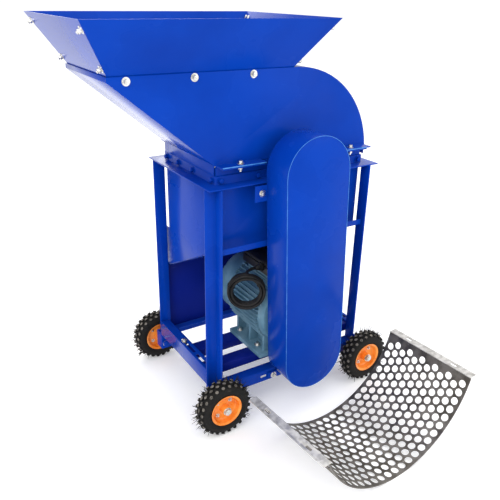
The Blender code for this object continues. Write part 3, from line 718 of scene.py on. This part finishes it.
def addHairs(tag, hub, body, seed):
    # the moulding hairs of a new tyre, kept off the stretch that meets the floor
    pick = random.Random(seed)
    places = []
    for _ in range(wheel["hairs"]):
        angle = pick.uniform(-0.33 * math.pi, 1.33 * math.pi)
        along = pick.choice((-0.022, -0.0135, 0.0135, 0.022)) + pick.uniform(-0.001, 0.001)
        root = 0.0905 if abs(along) < 0.02 else 0.085
        out = Vector((math.cos(angle), along * 12, math.sin(angle))).normalized()
        foot = hub + Vector((root * math.cos(angle), along, root * math.sin(angle)))
        bend = Vector((pick.uniform(-0.3, 0.3), pick.uniform(-0.2, 0.2), pick.uniform(-0.3, 0.3)))
        reach = (out + bend) * wheel["hairLong"] * pick.uniform(0.6, 1.15)
        tip = foot + reach
        if tip.x > cadHigh.x - 0.001 or tip.y > cadHigh.y - 0.001 or tip.z < 0.003:
            continue
        turn = Vector((0, 0, 1)).rotation_difference(reach).to_matrix().to_4x4()
        places.append(Matrix.Translation(foot) @ turn @ Matrix.Scale(reach.length, 4, (0, 0, 1)))
    bpy.ops.mesh.primitive_cone_add(vertices=3, radius1=wheel["hairThick"], radius2=wheel["hairThick"] * 0.55,
                                    depth=1, location=(0, 0, 0.5))
    hair = applied(bpy.context.object)
    settle(repeated(f"hairs_{tag}", hair, places), body, "tyre_rubber")


motor = {"fins": 52, "finThick": 0.0024, "front": -0.166, "back": 0.018}


def addMotor():
    low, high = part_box("motor_shaft")
    axis = Vector(((low.x + high.x) / 2, mill.y, (low.z + high.z) / 2))
    radius = 0.131
    footTop = 0.205
    core = turned("motorCore", [
        (0.0193, -0.216), (0.052, -0.216), (0.056, -0.213), (0.060, -0.205), (0.100, -0.203), (0.118, -0.198),
        (0.124, -0.188), (0.124, -0.170), (0.117, -0.166), (0.117, 0.018), (0.123, 0.020), (0.123, 0.028),
        (0.118, 0.030), (0.0193, 0.030), (0.0193, -0.216),
    ], axis, (0, 1, 0), 80)
    parts = [core]
    for number in range(motor["fins"]):
        angle = 2 * math.pi * (number + 0.5) / motor["fins"]
        if abs(math.degrees(angle) - 90) < 30 or abs(math.degrees(angle) - 270) < 34:
            continue
        fin = block("fin", (0.114, motor["front"], -motor["finThick"] / 2),
                    (radius, motor["back"], motor["finThick"] / 2))
        fin.data.transform(Matrix.Translation(axis) @ Matrix.Rotation(-angle, 4, "Y"))
        parts.append(fin)
    for number in range(8):
        angle = 2 * math.pi * (number + 0.5) / 8
        ear = cylinder("ear", 0.008, 0.012, 16, (0.117, -0.176, 0), (0, 1, 0))
        ear.data.transform(Matrix.Translation(axis) @ Matrix.Rotation(-angle, 4, "Y"))
        parts.append(ear)
    for side in (-1, 1):
        inner, outer = sorted((side * 0.070, side * 0.135))
        parts.append(block("footPlate", axis + Vector((inner, -0.208, 0.191 - axis.z)),
                           axis + Vector((outer, -0.008, footTop - axis.z))))
        for y in (-0.195, -0.110, -0.030):
            web = block("web", axis + Vector((min(side * 0.072, side * 0.112), y, footTop - 0.004 - axis.z)),
                        axis + Vector((max(side * 0.072, side * 0.112), y + 0.010, 0.262 - axis.z)))
            parts.append(web)
        wall = sorted((side * 0.070, side * 0.080))
        parts.append(block("footWall", axis + Vector((wall[0], -0.195, footTop - 0.004 - axis.z)),
                           axis + Vector((wall[1], -0.020, 0.255 - axis.z))))
    saddle = block("deck", axis + Vector((-0.062, -0.170, 0.100)), axis + Vector((0.062, -0.010, 0.1308)))
    parts.append(saddle)
    body = joined("motorBody", parts)
    softenEdges(body, 0.0006, 1, 50)
    settle(body, "frame", "motor_paint", "motor_body")
    for side, tag in leftRight:
        for number, y in enumerate((-0.150, -0.036)):
            at = Vector((axis.x + side * 0.108, mill.y + y, footTop))
            under = Vector((at.x, at.y, 0.1866))
            fasten(f"motorBolt{tag}{number}", boltHead, at, (0, 0, 1), "frame")
            fasten(f"motorNut{tag}{number}", boltNut, under, (0, 0, -1), "frame")
    for number in range(4):
        angle = math.radians(45 + 90 * number)
        at = axis + Vector((0.088 * math.cos(angle), -0.2034, 0.088 * math.sin(angle)))
        fasten(f"shieldBolt{number}", smallNut, at, (0, -1, 0), "frame")
    cover = turned("fanCowl", [
        (0.1190, 0.0303), (0.1210, 0.0303), (0.1210, 0.0900), (0.1195, 0.0980), (0.1120, 0.1100),
        (0.1000, 0.1220), (0.0960, 0.1220), (0.0960, 0.1200), (0.0990, 0.1200), (0.1105, 0.1085),
        (0.1178, 0.0970), (0.1190, 0.0900), (0.1190, 0.0303),
    ], axis, (0, 1, 0), 72)
    grille = [cover]
    for ring in range(7):
        bpy.ops.mesh.primitive_torus_add(
            major_radius=0.020 + ring * 0.0125, minor_radius=0.0014, major_segments=56, minor_segments=6,
            location=axis + Vector((0, 0.1206, 0)), rotation=(math.pi / 2, 0, 0))
        grille.append(applied(bpy.context.object))
    for spoke in range(8):
        rod = cylinder("spoke", 0.0014, 0.080, 8, (0.058, 0, 0), (1, 0, 0))
        rod.data.transform(Matrix.Translation(axis + Vector((0, 0.1190, 0))) @ Matrix.Rotation(
            math.radians(45 * spoke), 4, "Y"))
        grille.append(rod)
    settle(joined("fanCowl", grille), "frame", "motor_paint", "fan_cover")
    fanHub = [(0.0172, 0.070), (0.026, 0.070), (0.026, 0.105), (0.0172, 0.105)]
    fanParts = [turned("fanHub", fanHub, axis, (0, 1, 0), 32)]
    for number in range(7):
        blade = block("blade", (0.024, 0.072, -0.0012), (0.104, 0.100, 0.0012))
        blade.data.transform(Matrix.Translation(axis) @ Matrix.Rotation(2 * math.pi * number / 7, 4, "Y"))
        fanParts.append(blade)
    settle(joined("coolingFan", fanParts), "motor_rotor", "black_plastic")
    addTerminalBox()
    addShaftWork()


def addTerminalBox():
    low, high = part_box("terminal_box")
    base = block("terminalBase", low, (high.x, high.y, high.z - 0.014))
    softenEdges(base, 0.004, 3)
    lid = block("terminalLid", (low.x, low.y, high.z - 0.0135), high)
    softenEdges(lid, 0.0045, 3)
    settle(base, "frame", "black_plastic", "terminal_box")
    settle(lid, "frame", "black_plastic")
    inset = 0.012
    corners = [(x, y) for y in (low.y + inset, high.y - inset) for x in (low.x + inset, high.x - inset)]
    for number, corner in enumerate(corners):
        screw = cylinder(f"lidScrew{number}", 0.0042, 0.0030, 20, (*corner, high.z - 0.0004))
        softenEdges(screw, 0.0008)
        settle(screw, "frame", "zinc_steel")


pulleys = {"rotor_pulley": 0.060, "motor_pulley": 0.085}
grooves = (-0.0095, 0.0095)


def addShaftWork():
    # grooved pulleys on both shafts and two vee belts, closed in by the guard
    for node, radius in pulleys.items():
        low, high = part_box(node)
        centre = (low + high) / 2
        bore = 0.0128 if node == "rotor_pulley" else 0.0193
        profile = [(bore, -0.020), (radius - 0.012, -0.020), (radius, -0.0195)]
        for groove in grooves:
            profile += [(radius, groove - 0.0078), (radius - 0.013, groove - 0.0042),
                        (radius - 0.013, groove + 0.0042), (radius, groove + 0.0078)]
        profile += [(radius, 0.0195), (radius - 0.012, 0.020), (bore, 0.020), (bore, -0.020)]
        pulley = turned(f"{node}_turned", profile, centre, (0, 1, 0), 72)
        settle(pulley, frame["nodes"][node]["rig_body"], "grey_iron", node)
    top, low = middle("rotor_pulley"), middle("motor_pulley")
    for number, groove in enumerate(grooves):
        belt = veeBelt(f"veeBelt{number}", top, pulleys["rotor_pulley"], low, pulleys["motor_pulley"], groove)
        settle(belt, "frame", "black_rubber", "drive_belt")


def veeBelt(name, top, topR, low, lowR, offset):
    # one section carried round the top pulley, down a strand, round the lower pulley and back up
    run = Vector((top.x - low.x, 0, top.z - low.z))
    facing = math.atan2(run.z, run.x)
    reach = math.acos((lowR - topR) / run.length)
    section = ((-0.0115, -0.0042), (0.0008, -0.0076), (0.0008, 0.0076), (-0.0115, 0.0042))

    def onArc(centre, radius, angle, along=0):
        return Vector((centre.x + radius * math.cos(angle), top.y + offset + along,
                       centre.z + radius * math.sin(angle)))

    first, last = facing - reach, facing + reach
    belt = outlined(name, [onArc(top, topR + add, first, along) for add, along in section])
    select(belt)
    bpy.ops.object.mode_set(mode="EDIT")
    bpy.ops.mesh.select_all(action="SELECT")
    bpy.ops.mesh.spin(steps=40, angle=last - first, center=(top.x, top.y, top.z), axis=(0, 1, 0))
    down = onArc(low, lowR, last) - onArc(top, topR, last)
    bpy.ops.mesh.extrude_region_move(TRANSFORM_OT_translate={"value": down})
    bpy.ops.mesh.spin(steps=40, angle=2 * (math.pi - reach), center=(low.x, low.y, low.z), axis=(0, 1, 0))
    up = onArc(top, topR, first) - onArc(low, lowR, first)
    bpy.ops.mesh.extrude_region_move(TRANSFORM_OT_translate={"value": up})
    bpy.ops.object.mode_set(mode="OBJECT")
    closedUp(belt)
    bpy.ops.object.shade_smooth_by_angle(angle=math.radians(35))
    return belt


screen = {
    "across": 12, "pitch": 0.0303, "hole": 0.0120, "thick": 0.003, "half": 0.165,
    "leftMargin": 0.004, "rightMargin": 0.016, "slotAt": 0.091, "slotLong": 0.022, "slotWide": 0.010,
}


def holeCell(long, wide):
    # a ring of edges extruded out to the four sides of its own small rectangle
    bpy.ops.mesh.primitive_circle_add(vertices=16, radius=screen["hole"], fill_type="NOTHING")
    cell = bpy.context.object
    bpy.ops.object.mode_set(mode="EDIT")
    bpy.ops.mesh.select_all(action="SELECT")
    bpy.ops.mesh.extrude_region_move()
    bpy.ops.object.mode_set(mode="OBJECT")
    for vertex in list(cell.data.vertices)[16:]:
        turn = math.atan2(vertex.co.y, vertex.co.x)
        reach = max(abs(math.cos(turn)), abs(math.sin(turn)))
        across, up = math.cos(turn) / reach, math.sin(turn) / reach
        vertex.co.x = long * round(across * 2) / 2
        vertex.co.y = wide * round(up * 2) / 2
    return cell


def plainGrid(x0, x1, y0, y1, stepsX, stepsY):
    bpy.ops.mesh.primitive_grid_add(x_subdivisions=stepsX, y_subdivisions=stepsY, size=1,
                                    location=((x0 + x1) / 2, (y0 + y1) / 2, 0))
    grid = bpy.context.object
    grid.scale = (x1 - x0, y1 - y0, 1)
    return applied(grid)


def punchedSheet(name, radius, arc, place):
    # rows of holes that run along the bend, every second row moved by half a pitch
    pitch, half = screen["pitch"], screen["half"]
    wide = pitch * math.sqrt(3) / 4
    middleR = radius - screen["thick"] / 2
    total = middleR * math.radians(arc)
    along = int((total - screen["leftMargin"] - screen["rightMargin"]) / pitch)
    end = total / 2 - screen["rightMargin"]
    first = end - along * pitch
    lastRow = screen["across"] * wide
    places, fills = [], []
    for row in range(screen["across"]):
        y = -lastRow + (2 * row + 1) * wide
        shift = row % 2
        places += [Matrix.Translation((first + pitch * (column + 0.5 + 0.5 * shift), y, 0))
                   for column in range(along - shift)]
        if shift:
            fills += [plainGrid(s, s + pitch / 2, y - wide, y + wide, 2, 4)
                      for s in (first, end - pitch / 2)]
    rows = [repeated(name, holeCell(pitch / 2, wide), places)]
    for s0, s1 in ((-total / 2, first), (end, total / 2)):
        fills.append(plainGrid(s0, s1, -lastRow, lastRow, 2, screen["across"] * 4))
    for side in (-1, 1):
        low, high = sorted((side * lastRow, side * half))
        fills.append(plainGrid(first, end, low, high, along * 4, 1))
        fills += [plainGrid(s0, s1, low, high, 2, 1) for s0, s1 in ((-total / 2, first), (end, total / 2))]
    sheet = joined(name, rows + fills)
    select(sheet)
    closedUp(sheet)
    for vertex in sheet.data.vertices:
        angle = vertex.co.x / middleR
        vertex.co = (middleR * math.sin(angle), vertex.co.y, -middleR * math.cos(angle))
    addModifier(sheet, "SOLIDIFY", thickness=screen["thick"], offset=0)
    bpy.ops.object.shade_smooth_by_angle(angle=math.radians(40))
    sheet.data.transform(place)
    return sheet


def slottedBar(name, low, high, place):
    # a flat bar with two slots cut through it
    bar = block(name, low, high)
    centre = (low[0] + high[0]) / 2
    wide, long = screen["slotWide"] / 2, screen["slotLong"] / 2
    for y in (-screen["slotAt"], screen["slotAt"]):
        under, over = low[2] - 0.01, high[2] + 0.01
        cutter = block("cutter", (centre - wide, y - long, under), (centre + wide, y + long, over))
        addModifier(bar, "BOOLEAN", operation="DIFFERENCE", object=cutter, solver="EXACT")
        bpy.data.objects.remove(cutter)
    softenEdges(bar, 0.0006)
    bar.data.transform(place)
    return bar


spare = {"radius": 0.309, "arc": 146, "turn": 3.6, "tip": 2.8, "x": 0.037, "y": -0.5375, "flange": 0.025}
fitted = {"radius": 0.258, "arc": 180, "z": 0.858, "Left": 0.2732, "Right": 0.283}

def addScreens():
    half, thick = screen["half"], screen["thick"]
    place = (
        Matrix.Translation(spot(spare["x"], spare["y"], spare["radius"]))
        @ Matrix.Rotation(math.radians(spare["turn"]), 4, "Z")
        @ Matrix.Rotation(math.radians(-spare["tip"]), 4, "Y")
    )
    sheet = punchedSheet("spareSheet", spare["radius"], spare["arc"], place)
    settle(sheet, "spare_screen", "screen_steel", "loose_screen")
    edge = math.radians(spare["arc"] / 2)
    x = (spare["radius"] - thick) * math.sin(edge)
    z = -(spare["radius"] - thick) * math.cos(edge)
    for side, tag in leftRight:
        ends = sorted((side * (x - 0.002), side * (x + spare["flange"])))
        bar = slottedBar(f"spareBar{tag}", (ends[0], -half, z), (ends[1], half, z + thick), place)
        settle(bar, "spare_screen", "bar_steel")
    home = Matrix.Translation(spot(0, 0, fitted["z"]))
    sheet = punchedSheet("fittedSheet", fitted["radius"], fitted["arc"], home)
    settle(sheet, "frame", "screen_steel", "inner_screen")
    for side, tag in leftRight:
        ends = sorted((side * (fitted["radius"] - 0.0035), side * fitted[tag]))
        bar = slottedBar(f"fittedBar{tag}", (ends[0], -half, 0), (ends[1], half, thick), home)
        settle(bar, "frame", "bar_steel")


lead = {
    "across": 0.010, "turns": 5.8, "outer": 0.0575, "inner": 0.0475, "planes": (0.010, 0.0, -0.010),
    "coil": (-0.159, -0.166, 0.435), "turn": 32.0, "gland": (-0.0728, -0.123, 0.485),
}


def leadRoute():
    turn = Matrix.Rotation(math.radians(-lead["turn"]), 3, "Z")
    back, across, up = turn @ Vector((0, 1, 0)), turn @ Vector((1, 0, 0)), Vector((0, 0, 1))
    coil = spot(*lead["coil"])
    start = spot(*lead["gland"]) - Vector((0.0263, 0, 0))
    end = coil + back * 0.0156 + up * 0.0525
    points = [
        start, start + Vector((-0.011, -0.0008, 0.0004)), start + Vector((-0.0295, -0.0069, 0.0012)),
        end + back * 0.012, end + back * 0.004,
    ]

    def onCoil(angle, radius, along):
        return coil + (across * math.cos(angle) + up * math.sin(angle)) * radius + back * along

    turns, perTurn = lead["turns"], 40
    planes = lead["planes"]
    stops = [(lead["outer"], planes[0]), (lead["outer"], planes[1]), (lead["outer"], planes[2]),
             (lead["inner"], planes[2]), (lead["inner"], planes[1]), (lead["inner"], planes[0])]
    count = int(turns * perTurn)
    for i in range(3, count + 1):
        done = i / perTurn
        lap = min(int(done), len(stops) - 1)
        share = done - lap
        here, after = stops[lap], stops[min(lap + 1, len(stops) - 1)]
        ease = max(0.0, (share - 0.80) / 0.20)
        ease = ease * ease * (3 - 2 * ease)
        radius = here[0] + (after[0] - here[0]) * ease
        along = here[1] + (after[1] - here[1]) * ease
        points.append(onCoil(math.radians(90) + 2 * math.pi * done, radius, along))
    return points, onCoil


def smoothed(points, steps):
    ends = [points[0] * 2 - points[1]] + points + [points[-1] * 2 - points[-2]]
    route = []
    for a, b, c, d in zip(ends, ends[1:], ends[2:], ends[3:]):
        for step in range(steps):
            t = step / steps
            route.append(0.5 * (2 * b + (c - a) * t + (2 * a - 5 * b + 4 * c - d) * t * t
                                + (3 * b - a - 3 * c + d) * t ** 3))
    return route + [points[-1]]


def tube(name, route, radius):
    curve = bpy.data.curves.new(name, "CURVE")
    curve.dimensions = "3D"
    curve.bevel_depth = radius
    curve.bevel_resolution = 4
    curve.use_fill_caps = True
    spline = curve.splines.new("POLY")
    spline.points.add(len(route) - 1)
    for point, place in zip(spline.points, route):
        point.co = (*place, 1)
    obj = bpy.data.objects.new(name, curve)
    bpy.context.scene.collection.objects.link(obj)
    return obj


def addLead():
    points, onCoil = leadRoute()
    route = smoothed(points, 2)
    cable = tube("supplyLead", route, lead["across"] / 2)
    settle(cable, "frame", "black_rubber", "power_cable", "cable_coil")
    length = sum((b - a).length for a, b in zip(route, route[1:]))
    way = (route[-1] - route[-2]).normalized()
    side = way.cross(Vector((0, 0, 1))).normalized()
    over = way.cross(side)
    for number, (a, b) in enumerate(((1, 1), (-1, 1), (-1, -1), (1, -1))):
        foot = route[-1] - way * 0.002 + side * a * 0.0020 + over * b * 0.0020
        bend = [foot, foot + way * 0.012 + side * a * 0.001,
                foot + way * 0.024 + side * a * 0.003 + over * b * 0.002]
        core = tube(f"core{number}", smoothed(bend, 4), 0.0013)
        settle(core, "frame", "core_red" if number == 0 else "black_rubber")
    for number, angle in enumerate((math.radians(35), math.radians(160), math.radians(285))):
        loop = []
        for step in range(32):
            t = 2 * math.pi * step / 32
            corner = (abs(math.cos(t)) ** 0.45 * math.copysign(1, math.cos(t)),
                      abs(math.sin(t)) ** 0.45 * math.copysign(1, math.sin(t)))
            loop.append(onCoil(angle, 0.0525 + corner[0] * 0.0112, corner[1] * 0.0162))
        tie = tube(f"cableTie{number}", loop, 0.0011)
        tie.data.splines[0].use_cyclic_u = True
        tie.data.use_fill_caps = False
        settle(tie, "frame", "black_plastic")
    print("supply lead", round(length, 3), "m")
    tuple(route[0])
    gland = spot(*lead["gland"])
    nut = cylinder("glandNut", 0.0150, 0.008, 6, gland - Vector((0.0042, 0, 0)), (1, 0, 0))
    softenEdges(nut, 0.0010)
    boot = turned("glandBoot", [
        (0, -0.0082), (0.0112, -0.0082), (0.0118, -0.0100), (0.0108, -0.0150), (0.0098, -0.0190),
        (0.0078, -0.0245), (0.0062, -0.0260), (0, -0.0260),
    ], gland, (1, 0, 0), 32)
    settle(joined("cableGlandBoot", [nut, boot]), "frame", "black_plastic", "cable_gland")


guard = {"radius": 0.1133, "top": (-0.0175, 0, 0.842), "foot": (0.0106, 0, 0.216)}

def addPaintedHighlights():
    # painted highlight: thin lighter-blue lines along the guard's front fold and the clamp bars' lips, where
    # the edges catch the light
    low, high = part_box("belt_guard")
    radius, front = guard["radius"] - 0.0012, low.y - 0.0001
    top, foot = spot(*guard["top"]), spot(*guard["foot"])
    run = math.atan2(top.z - foot.z, top.x - foot.x)
    loop = []
    for centre, start in ((top, run - math.pi / 2), (foot, run + math.pi / 2)):
        for step in range(33):
            angle = start + math.pi * step / 32
            x, z = centre.x + radius * math.cos(angle), centre.z + radius * math.sin(angle)
            loop.append(Vector((x, front, z)))
    highlightLoop = tube("guardFoldHighlight", loop, 0.0008)
    highlightLoop.data.splines[0].use_cyclic_u = True
    highlightLoop.data.use_fill_caps = False
    settle(highlightLoop, "frame", "painted_highlight_blue")
    # painted highlight strips along the clamp bars' lips
    for sy, tag in frontBack:
        for number, (x0, x1) in enumerate(((-0.268, -0.121), (0.121, 0.267))):
            reach = sorted((sy * 0.2037, sy * 0.2043))
            highlightStrip = block(f"clampLip{tag}{number}", spot(x0, reach[0], 0.8624), spot(x1, reach[1], 0.8656))
            settle(highlightStrip, "frame", "painted_highlight_blue")


def addSheetWork():
    edges = {"hopper": 0.0008, "casing": 0.0010, "feed": 0.0010, "wrap": 0.0010, "housing": 0.0010,
             "belt": 0.0014, "guard": 0.0006, "table": 0.0012, "leg": 0.0016, "front": 0.0014, "back": 0.0014,
             "left": 0.0014, "right": 0.0014, "motor": 0.0016, "dust": 0.0010, "chute": 0.0008,
             "bearing": 0.0020}
    skipped = ("motor_body", "motor_pulley", "motor_shaft")
    for node in sorted(frame["nodes"]):
        start = node.split("_")[0]
        if start in edges and node not in skipped:
            refined(node, edges[start])
    for node in ("rotor_shaft", "motor_shaft", "rotor_disc_front", "rotor_disc_back",
                 "hammers_1", "hammers_2", "hammers_3", "hammers_4"):
        refined(node, 0.0006)
    # folded lip of the chute floor, lapped up outside the housing
    low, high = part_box("housing_front")
    lip = block("chuteLipFront", (low.x, low.y - 0.0014, low.z), (high.x, low.y - 0.0001, low.z + 0.019))
    softenEdges(lip, 0.0005)
    settle(lip, "frame", "blue_paint")
    for sy, tag in frontBack:
        centre = spot(0, sy * 0.195, 0.845)
        collar = turned(f"bearingRing{tag}", [
            (0.0130, -0.0215), (0.0175, -0.0215), (0.0180, -0.0210), (0.0180, 0.0210), (0.0175, 0.0215),
            (0.0130, 0.0215), (0.0130, -0.0215)], centre, (0, 1, 0), 40)
        settle(collar, "rotor", "bare_steel")
        nipple = turned(f"greaseNipple{tag}", [
            (0, 0), (0.0040, 0), (0.0040, 0.004), (0.0028, 0.005), (0.0028, 0.009),
            (0.0016, 0.011), (0, 0.011)],
            centre + Vector((0.012, 0, 0.0325)), (0.3, 0, 1), 16)
        settle(nipple, "frame", "brass")


print("studio")
addCamera()
addStudio()
surfaceGroup = buildSurfaceGroup()
materials = {name: buildMaterial(name, look, surfaceGroup) for name, look in finishes.items()}
for nodeName, node in frame["nodes"].items():
    node.data.materials.clear()
    node.data.materials.append(materials[nodeSlot[nodeName]])
boltHead = fastenerTemplate("boltHead", 0.0130, 0)
boltNut = fastenerTemplate("boltNut", 0.0130, 0.005)
shortNut = fastenerTemplate("shortNut", 0.0120, 0.004)
smallNut = fastenerTemplate("smallNut", 0.0075, 0.0015)
print("supply lead")
addLead()
print("sheet work")
addSheetWork()
addPaintedHighlights()
print("fasteners")
boltEverything()
print("wheels")
for wheelTag, outward, hairSeed in (("fl", -1, 3), ("fr", -1, 5), ("bl", 1, 7), ("br", 1, 11)):
    addWheel(wheelTag, outward, hairSeed)
print("motor and belt drive")
addMotor()
print("screens")
addScreens()
for template in (boltHead, boltNut, shortNut, smallNut):
    bpy.data.objects.remove(template)
